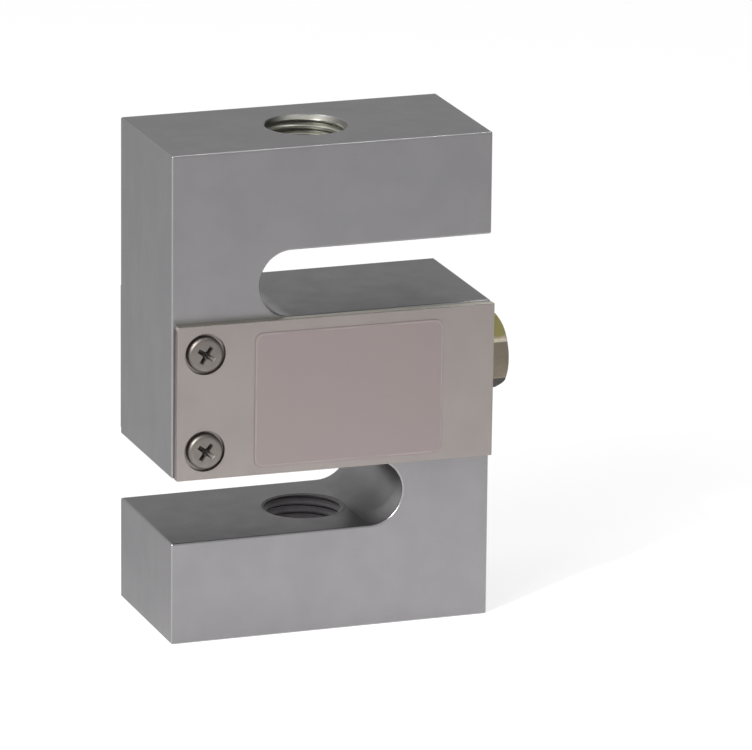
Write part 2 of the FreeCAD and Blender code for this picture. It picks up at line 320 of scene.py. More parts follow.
@dataclass(frozen=True)
class MetalFinish:
    """Plated or bare metal: cloudy tone, fine grain, pits and the lay of its machining, with a painted
    highlight on its broken edges and painted light and shade on the walls cut into it and where its mesh
    stores them.
    """

    name: str
    colour: Colour
    stain: Colour
    roughness: float
    metallic: float = 1.0
    grazing_tint: float = 0.72
    stain_size: float = 14 * MM
    stain_span: Span = (0.32, 0.68)
    stain_share: float = 0.5
    smear_stretch: Triple = (0.6, 0.6, 1.7)
    smear_start: Triple = (0.3, 0.1, 0.2)
    smear_roughness: float = 0.16
    grain_size: float = 0.16 * MM
    grain_height: float = 0.003 * MM
    grain_roughness: float = 0.10
    lay_size: Triple = (9 * MM, 9 * MM, 0.12 * MM)
    lay_height: float = 0.002 * MM
    pit_spacing: float = 1.1 * MM
    pit_span: Span = (0.10, 0.03)
    pit_depth: float = 0.01 * MM
    pit_share: float = 0.25
    pit_patch: float = 5 * MM
    pit_patch_span: Span = (0.52, 0.62)

    # The box of the piece's body, where its broken edges and the walls cut into it are told apart. The broken
    # edges are painted lighter in the edge colour as a highlight, the cut walls take painted shade, and the
    # closed ends of the slots painted light.
    body_centre: Triple = ORIGIN
    body_half_size: Triple = ORIGIN
    edge: Colour = (0.5, 0.5, 0.5)
    edge_break: float = 0.25 * MM
    edge_span: Span = (0.02, 0.12)
    edge_above: float = -1.0
    edge_fade: float = 0.1 * MM
    edge_share: float = 0.6
    edge_gloss: float = 0.1
    cut_beyond: float = 1.6
    cut_shade: float = 0.0
    cut_gloss: float = 0.0
    end_span: Span = (120 * MM * MM, 220 * MM * MM)
    end_share: float = 0.0
    end_roughness: float = 0.0

    # What the mesh stores as painted shade, and a second colour above a height, with a rippled border.
    dark_part: float = 0.08
    deep_shade: float = 0.72
    shade_roughness: float = 0.15
    tinted_patch: Colour = ORIGIN
    tint_above: float = 1.0
    tint_fade: float = 0.4 * MM
    tint_ripple: float = 2 * MM

    def material(self) -> bpy.types.Material:
        """Build the material.

        Returns:
            The metal's material.
        """
        tree = new_tree(self.name)
        _, _, height = tree.position()
        across, deep, up = tree.position(self.body_centre)
        half_x, half_y, half_z = self.body_half_size
        depth = (half_x - abs(across)).smaller(half_y - abs(deep)).smaller(half_z - abs(up))
        cut = depth.ramp(self.edge_break, self.cut_beyond * self.edge_break)
        # Painted light at the closed end of each slot, and painted shade on the other walls cut into the
        # body.
        closed_end = (0.0 - across * up).ramp(*self.end_span) * cut
        shaded_cut = cut * (1.0 - closed_end)
        # Painted highlight: the broken edges, above a height, turn to the lighter edge colour.
        broken = depth.ramp(*(part * self.edge_break for part in self.edge_span)) * (1.0 - cut)
        broken = broken * height.ramp(self.edge_above, self.edge_above + self.edge_fade)
        # The mesh stores painted shade and painted highlights at its corners.
        shade, painted_highlight = tree.stored(STORED_SHADE), tree.stored(STORED_HIGHLIGHT)
        edge = (broken * self.edge_share).larger(painted_highlight).larger(closed_end * self.end_share)

        clouds = tree.noise(self.stain_size, detail=4.0)
        smear_size = tuple(self.stain_size * part for part in self.smear_stretch)
        smears = tree.noise(smear_size, detail=5.0, centre=self.smear_start)
        fine = tree.noise(self.grain_size, detail=3.0)
        lay = tree.noise(self.lay_size, detail=2.0)
        patches = tree.noise(self.pit_patch, detail=2.0).ramp(*self.pit_patch_span)
        pits = tree.specks(self.pit_spacing).ramp(*self.pit_span) * patches
        # A second colour above a height, with a rippled border.
        rippled = height + clouds.swing(self.tint_ripple)
        tinted_patch = rippled.ramp(self.tint_above, self.tint_above + self.tint_fade)

        dark = tuple(self.dark_part * part for part in self.colour)
        # Pits darken for real; the cut walls and what the mesh stores add painted shade.
        darkness = pits * self.pit_share + shaded_cut * self.cut_shade + shade * self.deep_shade
        tone = tree.mix(clouds.ramp(*self.stain_span) * self.stain_share, self.colour, self.stain)
        tone = tree.mix(edge, tree.mix(darkness, tree.mix(tinted_patch, tone, self.tinted_patch), dark), self.edge)
        roughness = (self.roughness + smears.swing(self.smear_roughness) + fine.swing(self.grain_roughness)
                     - edge * self.edge_gloss - cut * self.cut_gloss + shade * self.shade_roughness
                     + closed_end * self.end_roughness)
        relief = fine * self.grain_height + lay * self.lay_height - pits * self.pit_depth
        return tree.surface({
            "Base Color": tone,
            "Metallic": self.metallic,
            "Roughness": roughness,
            "Specular Tint": (self.grazing_tint,) * 3,
            "Normal": tree.relief(relief),
        })


@dataclass(frozen=True)
class SoftFinish:
    """Rubber, fibre, silicone, ceramic or enamel: a coloured body with a mottled, faintly rough skin."""

    name: str
    colour: Colour
    fleck: Colour
    roughness: float
    fleck_size: float = 1.2 * MM
    fleck_span: Span = (0.4, 0.7)
    fleck_share: float = 0.6
    fleck_roughness: float = 0.2
    grain_size: float = 0.15 * MM
    grain_height: float = 0.012 * MM
    grain_roughness: float = 0.1
    clearness: float = 0.0
    clear_depth: float = 1 * MM

    def material(self) -> bpy.types.Material:
        """Build the material.

        Returns:
            The soft or moulded material.
        """
        tree = new_tree(self.name)
        flecks = tree.noise(self.fleck_size, detail=5.0)
        fine = tree.noise(self.grain_size, detail=3.0)
        roughness = self.roughness + flecks.swing(self.fleck_roughness) + fine.swing(self.grain_roughness)
        return tree.surface({
            "Base Color": tree.mix(flecks.ramp(*self.fleck_span) * self.fleck_share, self.colour, self.fleck),
            "Roughness": roughness,
            "Normal": tree.relief(fine * self.grain_height),
            "Subsurface Weight": self.clearness,
            "Subsurface Scale": self.clear_depth,
        })


@dataclass(frozen=True)
class LabelFinish:
    """Matte foil label with a slightly mottled field and a thin pale line along its border, a painted
    highlight that shows in patches.
    """

    name: str
    centre: Vector
    half_size: Span
    turn: float
    field_colour: Colour = (0.226, 0.190, 0.189)
    warm: Colour = (0.232, 0.195, 0.183)
    warm_size: float = 16 * MM
    warm_span: Span = (0.35, 0.65)
    warm_share: float = 0.7
    warm_roughness: float = 0.15
    border: Colour = (0.48, 0.45, 0.43)
    border_inset: float = 0.22 * MM
    border_width: float = 0.11 * MM
    border_core: float = 0.4
    border_share: float = 0.16
    border_gloss: float = 0.1
    corner: float = 1.3 * MM
    highlight_patch_size: float = 6 * MM
    highlight_patch_span: Span = (0.36, 0.56)
    grain_size: float = 0.12 * MM
    grain_height: float = 0.004 * MM
    grain_roughness: float = 0.1
    roughness: float = 0.5
    metallic: float = 0.55

    def outline(self, tree: FinishTree) -> Value:
        """Distance from the label's border line, in metres.

        Args:
            tree: The material's tree.

        Returns:
            The distance, zero on the line.
        """
        along, _, up = tree.position(tuple(self.centre), (0.0, self.turn, 0.0))
        over_x, over_z = ((abs(part) - (half - self.border_inset - self.corner)).larger(0.0)
                          for part, half in zip((along, up), self.half_size))
        return abs((over_x * over_x + over_z * over_z).power(0.5) - self.corner)

    def material(self) -> bpy.types.Material:
        """Build the material.

        Returns:
            The label's material.
        """
        tree = new_tree(self.name)
        # Painted highlight: a pale line along the border, shown in patches.
        line = self.outline(tree).ramp(self.border_width, self.border_width * self.border_core)
        tinted_patch = tree.noise(self.highlight_patch_size, detail=3.0).ramp(*self.highlight_patch_span)
        clouds = tree.noise(self.warm_size, detail=4.0)
        fine = tree.noise(self.grain_size, detail=3.0)
        tone = tree.mix(clouds.ramp(*self.warm_span) * self.warm_share, self.field_colour, self.warm)
        roughness = self.roughness + clouds.swing(self.warm_roughness) + fine.swing(self.grain_roughness)
        return tree.surface({
            "Base Color": tree.mix(line * tinted_patch * self.border_share, tone, self.border),
            "Metallic": self.metallic,
            "Roughness": roughness - line * self.border_gloss,
            "Normal": tree.relief(fine * self.grain_height),
        })


@dataclass(frozen=True)
class GaugeFinish:
    """Amber film with an etched grid of fine foil lines across it."""

    name: str
    slope: float
    film: Colour = (0.50, 0.22, 0.05)
    foil: Colour = (0.52, 0.42, 0.30)
    foil_pitch: float = 0.28 * MM
    foil_span: Span = (-0.1, 0.25)
    foil_height: float = 0.005 * MM
    foil_metallic: float = 0.9
    grain_size: float = 0.1 * MM
    grain_height: float = 0.002 * MM
    grain_roughness: float = 0.2
    roughness: float = 0.32

    def material(self) -> bpy.types.Material:
        """Build the material.

        Returns:
            The gauge's material.
        """
        tree = new_tree(self.name)
        _, _, across = tree.position(turn=(0.0, self.slope, 0.0))
        lines = (across * (math.tau / self.foil_pitch)).wave().ramp(*self.foil_span)
        fine = tree.noise(self.grain_size, detail=2.0)
        return tree.surface({
            "Base Color": tree.mix(lines, self.film, self.foil),
            "Metallic": lines * self.foil_metallic,
            "Roughness": self.roughness + fine.swing(self.grain_roughness),
            "Normal": tree.relief(lines * self.foil_height + fine * self.grain_height),
        })


@dataclass(frozen=True)
class BoardFinish:
    """Green laminate with its weave just showing, copper tracks under the mask and tinned pads."""

    name: str
    mask: Colour = (0.015, 0.12, 0.045)
    track: Colour = (0.04, 0.22, 0.07)
    track_share: float = 0.8
    track_height: float = 0.02 * MM
    lane: float = 0.9 * MM
    lane_span: Span = (0.30, 0.50)
    stretch: Triple = (4 * MM, 9 * MM, 2 * MM)
    stretch_span: Span = (0.44, 0.46)
    tin: Colour = (0.42, 0.41, 0.38)
    tin_metallic: float = 0.9
    pad_spacing: float = 2.6 * MM
    pad_span: Span = (0.22, 0.19)
    weave: float = 0.32 * MM
    weave_height: float = 0.002 * MM
    weave_roughness: float = 0.03
    grain_size: float = 0.2 * MM
    grain_roughness: float = 0.2
    roughness: float = 0.3
    gloss_coat: float = 0.3

    def material(self) -> bpy.types.Material:
        """Build the material.

        Returns:
            The board's material.
        """
        tree = new_tree(self.name)
        x, _, z = tree.axes(tree.place((self.weave,) * 3))
        threads = (x * math.tau).wave() * (z * math.tau).wave()
        lanes = (z * (math.tau * self.weave / self.lane)).wave().ramp(*self.lane_span)
        tracks = lanes * tree.noise(self.stretch, detail=0.0).ramp(*self.stretch_span)
        pads = tree.specks(self.pad_spacing).ramp(*self.pad_span)
        fine = tree.noise(self.grain_size, detail=2.0)
        tone = tree.mix(tracks * self.track_share, self.mask, self.track)
        relief = threads * self.weave_height + tracks.larger(pads) * self.track_height
        return tree.surface({
            "Base Color": tree.mix(pads, tone, self.tin),
            "Metallic": pads * self.tin_metallic,
            "Roughness": self.roughness + fine.swing(self.grain_roughness) + threads * self.weave_roughness,
            "Normal": tree.relief(relief),
            "Coat Weight": self.gloss_coat,
        })


def show(name: str, data: bpy.types.ID) -> bpy.types.Object:
    """Put an object with some data into the scene.

    Args:
        name: The object's name.
        data: Its mesh, lamp or camera.

    Returns:
        The object.
    """
    thing = bpy.data.objects.new(name, data)
    bpy.context.scene.collection.objects.link(thing)
    return thing


def aim(lamp: bpy.types.Object, outward: Vector) -> None:
    """Turn a lamp so that its back is towards a direction."""
    lamp.rotation_euler = outward.to_track_quat("Z", "Y").to_euler()


class Workpiece:
    """A mesh that is being shaped with bmesh operators, and ends as one object of the part."""

    MERGE_REACH = 0.0005 * MM
    PLANE_REACH = 1e-8
    SMOOTH_BELOW = math.radians(35.0)

    def __init__(self) -> None:
        """Start with an empty mesh."""
        self.bm = bmesh.new()

    def line(self, points: Iterable[Triple], closed: bool = False) -> list[bmesh.types.BMEdge]:
        """Add a chain of edges.

        Args:
            points: Its corners.
            closed: Whether the last corner joins the first.

        Returns:
            The new edges.
        """
        corners = [self.bm.verts.new(point) for point in points]
        pairs = list(zip(corners, corners[1:]))
        if closed:
            pairs.append((corners[-1], corners[0]))
        return [self.bm.edges.new(pair) for pair in pairs]

    def spin(self, edges: Sequence[bmesh.types.BMEdge], turns: float, steps: int, rise: float = 0.0) -> None:
        """Sweep a chain of edges about the Z axis.

        Args:
            edges: The chain.
            turns: How many times it goes round.
            steps: Steps in all.
            rise: How far it climbs in all.
        """
        corners = {corner for edge in edges for corner in edge.verts}
        bmesh.ops.spin(self.bm, geom=[*corners, *edges], cent=(0, 0, 0), axis=(0, 0, 1),
                       dvec=(0, 0, rise / steps), angle=math.tau * turns, steps=steps,
                       use_merge=rise == 0.0 and turns == 1)

    def lathe(self, profile: Sequence[Span], steps: int, closed: bool) -> None:
        """Turn a profile about the Z axis.

        Args:
            profile: Pairs of radius and height.
            steps: Steps round the turn.
            closed: Whether the profile is a closed ring, as for a part with a bore.
        """
        points = [(radius, 0.0, height) for radius, height in profile]
        self.spin(self.line(points, closed), 1, steps)
        self.clean()

    def clean(self) -> None:
        """Merge doubled corners and turn all faces outwards."""
        bmesh.ops.remove_doubles(self.bm, verts=self.bm.verts, dist=self.MERGE_REACH)
        bmesh.ops.recalc_face_normals(self.bm, faces=self.bm.faces)

    def cut_off(self, height: float, keep_below: bool) -> None:
        """Cut the mesh at a height and close the cut.

        Args:
            height: Where the cut is.
            keep_below: Whether the lower part stays, and not the upper one.
        """
        geometry = [*self.bm.verts, *self.bm.edges, *self.bm.faces]
        cut = bmesh.ops.bisect_plane(self.bm, geom=geometry, dist=self.PLANE_REACH, plane_co=(0, 0, height),
                                     plane_no=(0, 0, 1), clear_outer=keep_below, clear_inner=not keep_below)
        rim = [item for item in cut["geom_cut"] if isinstance(item, bmesh.types.BMEdge)]
        bmesh.ops.edgeloop_fill(self.bm, edges=rim)

    def round_off(self, geometry: Sequence[bmesh.types.BMEdge | bmesh.types.BMVert], kind: Rounded,
                  width: float, segments: int) -> None:
        """Round some edges or corners.

        Args:
            geometry: The edges or corners.
            kind: Which of the two they are.
            width: How far the rounding reaches on each side.
            segments: Faces across it.
        """
        bmesh.ops.bevel(self.bm, geom=geometry, offset=width, offset_type="OFFSET", affect=kind.value,
                        segments=segments, profile=0.5, material=-1, clamp_overlap=True)

    def move(self, matrix: Matrix) -> None:
        """Apply a placement to the whole mesh."""
        bmesh.ops.transform(self.bm, matrix=matrix, verts=self.bm.verts)

    def to_mesh(self, name: str) -> bpy.types.Mesh:
        """Write the shape to a new mesh.

        Args:
            name: The mesh's name.

        Returns:
            The mesh.
        """
        mesh = bpy.data.meshes.new(name)
        self.bm.to_mesh(mesh)
        return mesh

    def intersect(self, tool: "Workpiece") -> None:
        """Keep only what lies inside another closed mesh.

        Args:
            tool: The other shape.
        """
        own, other = show("own", self.to_mesh("own")), show("other", tool.to_mesh("other"))
        modifier = own.modifiers.new("combine", "BOOLEAN")
        modifier.operation, modifier.solver, modifier.object = "INTERSECT", "EXACT", other
        graph = bpy.context.evaluated_depsgraph_get()
        shaped = bpy.data.meshes.new_from_object(own.evaluated_get(graph))
        self.bm.clear()
        self.bm.from_mesh(shaped)
        for thing in (own, other):
            bpy.data.objects.remove(thing)

    def absorb(self, other: "Workpiece") -> None:
        """Add another mesh to this one as a shell of its own."""
        self.bm.from_mesh(other.to_mesh("shell"))

    def finish(self, name: str, slot: Slot, material: bpy.types.Material,
               replaced: Sequence[str] = ()) -> bpy.types.Object:
        """Make the shape an object that rides on the cell.

        Args:
            name: The piece's name.
            slot: Not used.
            material: Its material.
            replaced: The nodes that it stands for.

        Returns:
            The new object.
        """
        self.clean()
        mesh = self.to_mesh(name)
        self.bm.free()
        mesh.shade_smooth()
        mesh.set_sharp_from_angle(angle=self.SMOOTH_BELOW)
        mesh.materials.append(material)
        piece = show(name, mesh)
        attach(piece, BODY)
        if replaced:
            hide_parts(*replaced)
        return piece


def dress(node: str, material: bpy.types.Material) -> bpy.types.Object:
    """Give a carried-over node its finish.

    Args:
        node: The node's name.
        material: The material.

    Returns:
        The node's object.
    """
    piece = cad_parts[node]
    piece.data.materials.clear()
    piece.data.materials.append(material)
    return piece


@dataclass(frozen=True)
class ThreadRidge:
    """The helical ridge of a thread on the Z axis, from the wall that it stands on to its crest."""

    pitch: float
    wall_radius: float
    crest_radius: float
    root_flat: float
    crest_flat: float
    sink: float = 0.05 * MM
    crest_round: float = 0.09 * MM
    steps_per_turn: int = 48

    def section(self) -> list[Triple]:
        """The ridge's outline at the start of the helix.

        Returns:
            Its corners, from the foot over the crest and back.
        """
        inward = math.copysign(1.0, self.crest_radius - self.wall_radius)
        half_foot = (self.pitch - self.root_flat) / 2
        half_crest = self.crest_flat / 2
        shoulder = self.crest_radius - inward * self.crest_round
        upper = [
            (self.wall_radius - inward * self.sink, 0.0, half_foot),
            (self.wall_radius, 0.0, half_foot),
            (shoulder, 0.0, half_crest + self.crest_round / 2),
            (self.crest_radius, 0.0, half_crest - self.crest_round / 2),
        ]
        return upper + [(radius, 0.0, -height) for radius, _, height in reversed(upper)]

    def build(self, low: float, high: float, crest_height: float) -> Workpiece:
        """Sweep the ridge between two heights.

        Args:
            low: Where the ridge is cut off below.
            high: Where it is cut off above.
            crest_height: A height that the crest's middle passes on the +X side.

        Returns:
            The ridge, closed at both ends.
        """
        start = crest_height - self.pitch * math.ceil((crest_height - low) / self.pitch + 1)
        turns = math.ceil((high - start) / self.pitch + 1)
        ridge = Workpiece()
        edges = ridge.line([(r, y, z + start) for r, y, z in self.section()], closed=True)
        ridge.spin(edges, turns, turns * self.steps_per_turn, turns * self.pitch)
        open_edges = [edge for edge in ridge.bm.edges if edge.is_boundary]
        bmesh.ops.holes_fill(ridge.bm, edges=open_edges, sides=len(self.section()))
        ridge.clean()
        ridge.cut_off(high, keep_below=True)
        ridge.cut_off(low, keep_below=False)
        ridge.clean()
        return ridge


@dataclass(frozen=True)
class LoadThread:
    """The thread in one arm's load hole, which may run out into a countersink at both of its mouths.

    Its mesh stores painted shade at its mouths: mouth_shade at the place across the hole that plain_side
    gives, from -1 to 1, and more of it away from there, or less, by side_shade.
    """

    name: str
    low: float
    high: float
    crest_height: float
    ridge: ThreadRidge
    countersunk: bool
    mouth_shade: float
    side_shade: float
    plain_side: float
    mouth_break: float = 0.15 * MM
    flat_gap: float = 0.02 * MM

    def build(self, material: bpy.types.Material) -> bpy.types.Object:
        """Sweep the thread, and let its crest run out into each mouth that is countersunk.

        Args:
            material: The thread's material.

        Returns:
            The thread's object.
        """
        gap = self.mouth_break if self.countersunk else self.flat_gap
        low, high = self.low + gap, self.high - gap
        cone_depth = self.ridge.wall_radius - self.ridge.crest_radius
        work = self.ridge.build(low, high, self.crest_height)
        stored = work.bm.verts.layers.float.new(STORED_SHADE)
        for corner in work.bm.verts:
            depth = min(corner.co.z - low, high - corner.co.z)
            cone_radius = self.ridge.wall_radius - depth
            radius = corner.co.xy.length
            aside = corner.co.x / radius - self.plain_side
            shade = self.mouth_shade + self.side_shade * aside * aside
            if self.countersunk and radius < cone_radius:
                corner.co.xy *= cone_radius / radius
            if not self.countersunk:
                corner[stored] = shade * max(0.0, 1.0 - depth / self.ridge.pitch)
            elif depth < cone_depth:
                corner[stored] = shade
        return work.finish(self.name, Slot.BEAM, material)


@dataclass
class LoadBeam:
    """The S-shaped beam and its two load threads."""

    thread_pitch: float = 1.27 * MM
    major_radius: float = 6.35 * MM
    minor_radius: float = 5.70 * MM
    arm_height: float = 15.9 * MM
    upper_crest: float = 74.17 * MM
    lower_crest: float = 15.75 * MM
    upper_shades: Triple = (0.55, 0.85, 0.25)
    lower_shades: Triple = (0.95, -0.42, -0.10)
    # Its light edge colour paints a highlight on the broken edges and light at the closed slot ends, and the
    # walls cut into it take painted shade.
    steel: MetalFinish = MetalFinish(
        name="satin_plated_steel",
        colour=(0.230, 0.225, 0.231),
        stain=(0.256, 0.249, 0.254),
        edge=(0.37, 0.365, 0.37),
        roughness=0.40,
        stain_size=6 * MM,
        grazing_tint=0.75,
        edge_share=0.5,
        edge_gloss=0.14,
        body_centre=(0.0, 0.0, 38.1 * MM),
        body_half_size=(25.4 * MM, 12.7 * MM, 38.1 * MM),
        cut_shade=0.30,
        cut_gloss=0.09,
        end_share=0.36,
        end_roughness=0.28,
    )
    # Both thread finishes are painted far lighter than the beam's steel, as painted light inside the dark
    # holes; the lower one more so, and less metallic.
    tapped_steel: MetalFinish = MetalFinish(
        name="tapped_steel",
        colour=(0.560, 0.555, 0.500),
        stain=(0.470, 0.465, 0.410),
        roughness=0.36,
        stain_size=5 * MM,
        lay_size=(0.4 * MM, 0.4 * MM, 0.08 * MM),
    )
    lightened_hole_steel: MetalFinish = MetalFinish(
        name="lightened_tapped_steel",
        colour=(0.60, 0.58, 0.60),
        stain=(0.50, 0.48, 0.50),
        roughness=0.55,
        stain_size=4 * MM,
        lay_size=(0.4 * MM, 0.4 * MM, 0.08 * MM),
        metallic=0.35,
    )

    def build(self) -> list[bpy.types.Object]:
        """Dress the beam and cut its threads.

        Returns:
            The beam and the threads.
        """
        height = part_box("load_beam")[1].z
        ridge = ThreadRidge(self.thread_pitch, self.major_radius, self.minor_radius,
                            NARROW_FLAT * self.thread_pitch, WIDE_FLAT * self.thread_pitch)
        upper = LoadThread("upper_load_thread", height - self.arm_height, height, self.upper_crest, ridge,
                           True, *self.upper_shades)
        lower = LoadThread("lower_load_thread", 0.0, self.arm_height, self.lower_crest, ridge,
                           False, *self.lower_shades)
        return [
            dress("load_beam", self.steel.material()),
            upper.build(self.tapped_steel.material()),
            lower.build(self.lightened_hole_steel.material()),
        ]


@dataclass(frozen=True)
class RecessStep:
    """One step down into a cross recess, with the share of the width and the shade at its foot."""

    depth: float
    share: float
    shade: float


@dataclass(frozen=True)
class CoverScrew:
    """A low-headed screw with a cross recess and a rolled thread."""

    head_height: float = 1.45 * MM
    head_round: float = 0.62 * MM
    round_step: int = 15
    foot_chamfer: float = 0.08 * MM
    thread_radius: float = 1.5 * MM
    core_radius: float = 1.24 * MM
    thread_pitch: float = 0.5 * MM
    crest_round: float = 0.03 * MM
    tip_chamfer: float = 0.35 * MM
    recess_reach: float = 1.50 * MM
    recess_half_width: float = 0.36 * MM
    recess_taper: float = 0.9
    recess_corner: float = 0.16 * MM
    recess_steps: tuple[RecessStep, ...] = (
        RecessStep(0.05 * MM, 0.97, 0.56),
        RecessStep(0.90 * MM, 0.58, 0.62),
        RecessStep(0.22 * MM, 0.05, 0.72),
    )
    rim_from: float = 2.3 * MM
    rim_below: float = 0.01 * MM
    rim_shade: float = 0.2
    steps: int = 72
    thread_steps: int = 24

    def head_and_shank(self, head_radius: float, length: float) -> Workpiece:
        """Turn the screw's body, open where the recess goes.

        Args:
            head_radius: The head's radius.
            length: From the head's face to the tip.

        Returns:
            The turned body, with its face at height zero.
        """
        angles = [math.radians(degrees) for degrees in range(90, -1, -self.round_step)]
        arc = [(head_radius - self.head_round * (1 - math.cos(angle)),
                -self.head_round * (1 - math.sin(angle))) for angle in angles]
        body = Workpiece()
        body.lathe(arc + [
            (head_radius, -self.head_height + self.foot_chamfer),
            (head_radius - self.foot_chamfer, -self.head_height),
            (self.core_radius, -self.head_height),
            (self.core_radius, -length + self.tip_chamfer),
            (self.core_radius - self.tip_chamfer, -length),
            (0.0, -length),
        ], self.steps, closed=False)
        return body

    def cut_recess(self, body: Workpiece, turn: float) -> None:
        """Close the head's face round a cross recess with tapered wings and a conical pilot.

        Args:
            body: The turned body, open at its face.
            turn: How the cross is turned, in radians.
        """
        long, wide = self.recess_reach, self.recess_half_width
        tip, root = wide * self.recess_taper, wide + self.recess_corner
        quarter = [(long, -tip), (long, tip), (root, wide), (wide, root)]
        outline = []
        for wing in range(4):
            spun = Matrix.Rotation(turn + wing * math.pi / 2, 2)
            outline += [(*(spun @ Vector(point)), 0.0) for point in quarter]
        face_rim = [edge for edge in body.bm.edges if edge.is_boundary]
        ring = body.line(outline, closed=True)
        bmesh.ops.triangle_fill(body.bm, edges=face_rim + ring, use_beauty=True, normal=(0, 0, 1))
        stored = body.bm.verts.layers.float.new(STORED_SHADE)
        for corner in body.bm.verts:
            if -self.head_round <= corner.co.z < -self.rim_below and corner.co.xy.length > self.rim_from:
                corner[stored] = self.rim_shade
        for step in self.recess_steps:
            made = bmesh.ops.extrude_edge_only(body.bm, edges=ring)["geom"]
            corners = [item for item in made if isinstance(item, bmesh.types.BMVert)]
            ring = [item for item in made if isinstance(item, bmesh.types.BMEdge)]
            bmesh.ops.scale(body.bm, vec=(step.share, step.share, 1.0), verts=corners)
            bmesh.ops.translate(body.bm, vec=(0, 0, -step.depth), verts=corners)
            for corner in corners:
                corner[stored] = step.shade
        bmesh.ops.edgeloop_fill(body.bm, edges=ring)

    def build(self, node: str, side: Side, turn: float, material: bpy.types.Material) -> bpy.types.Object:
        """Make the screw in the place of its node.

        Args:
            node: The node that it stands for.
            side: The face of the beam that it is in.
            turn: The cross's turn in the front view, in degrees.
            material: Its material.

        Returns:
            The screw's object.
        """
        low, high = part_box(node)
        centre = (low + high) / 2
        length = high.y - low.y
        face_y = low.y if side is Side.FRONT else high.y
        body = self.head_and_shank((high.x - low.x) / 2, length)
        self.cut_recess(body, -side.value * math.radians(turn))
        flat = NARROW_FLAT * self.thread_pitch
        ridge = ThreadRidge(self.thread_pitch, self.core_radius, self.thread_radius, flat, flat,
                            crest_round=self.crest_round, steps_per_turn=self.thread_steps)
        body.absorb(ridge.build(-length + self.tip_chamfer, -self.head_height - self.thread_pitch, -length))
        upright = Matrix.Rotation(-side.value * math.pi / 2, 4, "X")
        body.move(Matrix.Translation((centre.x, face_y, centre.z)) @ upright)
        return body.finish(node + "_turned", Slot.SCREW, material, [node])


@dataclass
class BlankLabel:
    """The thin label on the front cover, with its rim turned up."""

    turn: float = math.radians(0.4)
    corner_radius: float = 1.2 * MM
    corner_faces: int = 8
    rim_width: float = 0.3 * MM
    rim_break: float = 0.1 * MM
    rim_rise: float = 0.02 * MM

    def build(self) -> bpy.types.Object:
        """Make the label in the place of its node.

        Returns:
            The label's object.
        """
        low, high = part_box("blank_label")
        centre = (low + high) / 2
        sine, cosine = math.sin(self.turn), math.cos(self.turn)
        share = cosine * cosine - sine * sine
        half_x = ((high.x - low.x) * cosine - (high.z - low.z) * sine) / share / 2
        half_z = ((high.z - low.z) * cosine - (high.x - low.x) * sine) / share / 2
        work = Workpiece()
        bmesh.ops.create_grid(work.bm, x_segments=1, y_segments=1, size=1.0)
        bmesh.ops.scale(work.bm, vec=(half_x, half_z, 1.0), verts=work.bm.verts)
        work.round_off(work.bm.verts[:], Rounded.CORNERS, self.corner_radius, self.corner_faces)
        field_faces = work.bm.faces[:]
        bmesh.ops.extrude_face_region(work.bm, geom=field_faces)
        lifted = [corner for face in field_faces for corner in face.verts]
        bmesh.ops.translate(work.bm, vec=(0, 0, high.y - low.y), verts=lifted)
        bmesh.ops.inset_region(work.bm, faces=field_faces, thickness=self.rim_break, use_even_offset=True)
        bmesh.ops.inset_region(work.bm, faces=field_faces, thickness=self.rim_width,
                               depth=-self.rim_rise, use_even_offset=True)
        upright = Matrix.Rotation(math.pi / 2, 4, "X")
        turned = Matrix.Rotation(self.turn, 4, "Y")
        work.move(Matrix.Translation((centre.x, high.y, centre.z)) @ turned @ upright)
        finish = LabelFinish("matte_label_foil", centre, (half_x, half_z), self.turn)
        return work.finish("label_plate", Slot.LABEL, finish.material(), ["blank_label"])


@dataclass
class Covers:
    """Both cover plates with their screws and soft rings, and the label on the front one.

    The turns of the cross recesses are in degrees, upper and lower, for the front and then the rear.
    """

    screw: CoverScrew = CoverScrew()
    recess_turns: tuple[Span, Span] = ((57.0, 53.0), (20.0, 71.0))
    # Its light edge colour paints light on the covers' edge faces above a height.
    sheet: MetalFinish = MetalFinish(
        name="cover_plate_steel",
        colour=(0.281, 0.255, 0.240),
        stain=(0.257, 0.225, 0.218),
        edge=(0.60, 0.58, 0.50),
        roughness=0.44,
        stain_size=9 * MM,
        lay_size=(0.12 * MM, 9 * MM, 9 * MM),
        edge_share=1.0,
        body_half_size=(1.0, 14.2 * MM, 1.0),
        edge_break=1.5 * MM,
        edge_above=49.5 * MM,
    )
    screw_steel: MetalFinish = MetalFinish(
        name="plated_screw_steel",
        colour=(0.185, 0.168, 0.156),
        stain=(0.140, 0.124, 0.112),
        roughness=0.37,
        stain_size=2.5 * MM,
        lay_size=(0.3 * MM, 0.3 * MM, 0.3 * MM),
        shade_roughness=0.50,
    )
    ring: SoftFinish = SoftFinish("cover_seal_rubber", (0.018, 0.018, 0.018), (0.03, 0.03, 0.03), 0.6)

    def build(self) -> list[bpy.types.Object]:
        """Dress the covers and make what is on them.

        Returns:
            The covers, rings, screws and the label.
        """
        sheet, ring, steel = self.sheet.material(), self.ring.material(), self.screw_steel.material()
        pieces = []
        for side, turns in zip(Side, self.recess_turns):
            pieces.append(dress(side.word + "_cover", sheet))
            pieces.append(dress(side.word + "_cover_seal", ring))
            for level, turn in zip(("upper", "lower"), turns):
                pieces.append(self.screw.build(f"cover_screw_{side.word}_{level}", side, turn, steel))
        pieces.append(BlankLabel().build())
        return pieces


